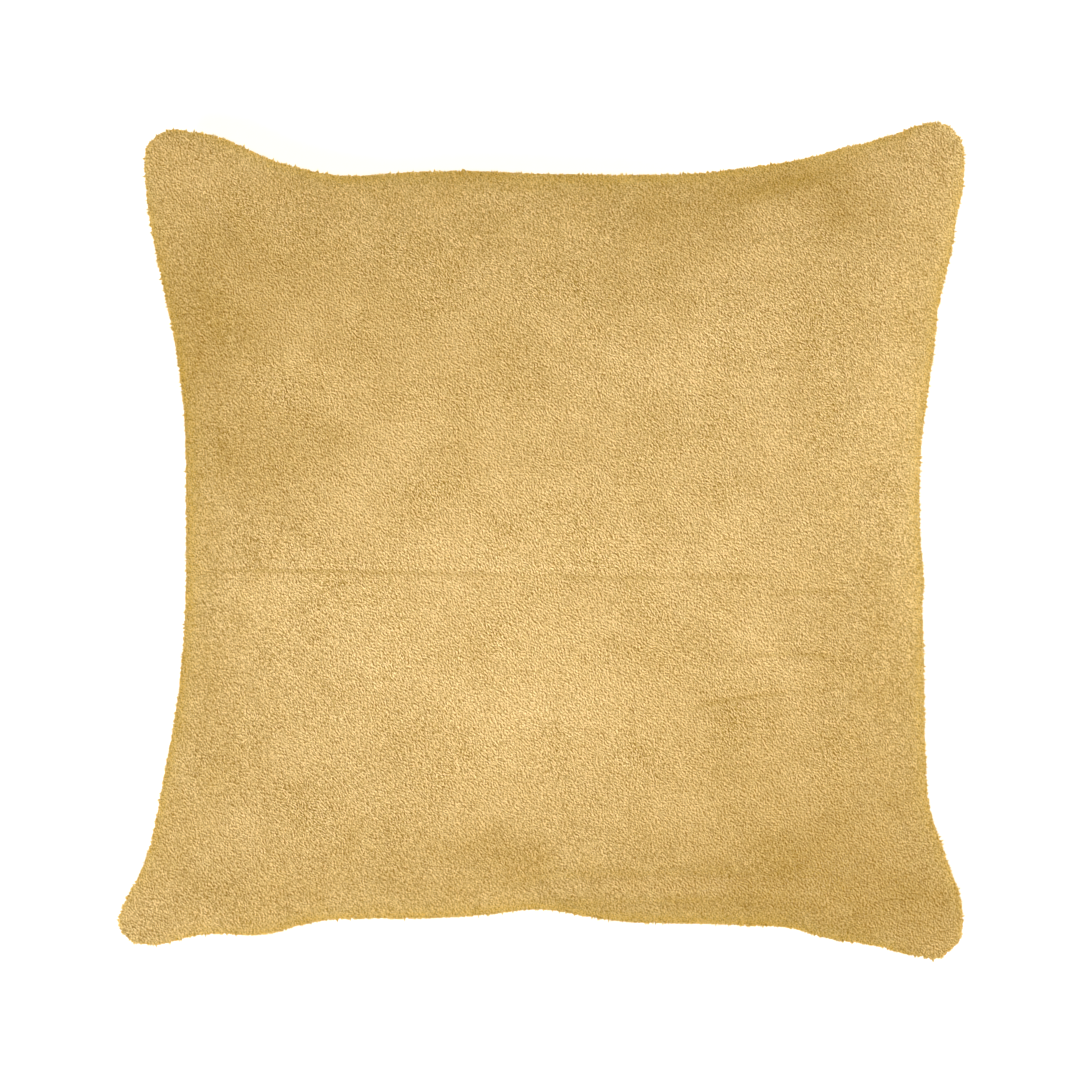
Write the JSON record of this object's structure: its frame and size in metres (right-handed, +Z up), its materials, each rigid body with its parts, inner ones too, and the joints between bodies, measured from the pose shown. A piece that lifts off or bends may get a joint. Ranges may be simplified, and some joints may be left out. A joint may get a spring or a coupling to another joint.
{
  "type": "square pillowcase, filled",
  "caption": "Plump square pillowcase of looped-pile cotton with soft pointed corners and drawn-in sides, filled and lying on its back.",
  "frame": {"origin": "middle of the cushion's footprint, on the surface that it rests on", "axes": "+Z up, out of the front face; +Y to the top edge of that face, +X to its right edge"},
  "size_m": [0.4472, 0.444, 0.1434],
  "materials": {
    "towelling": "matt looped cotton pile, warm sand yellow"
  },
  "bodies": {
    "root": {"pillowcase": "towelling"}
  },
  "joints": []
}
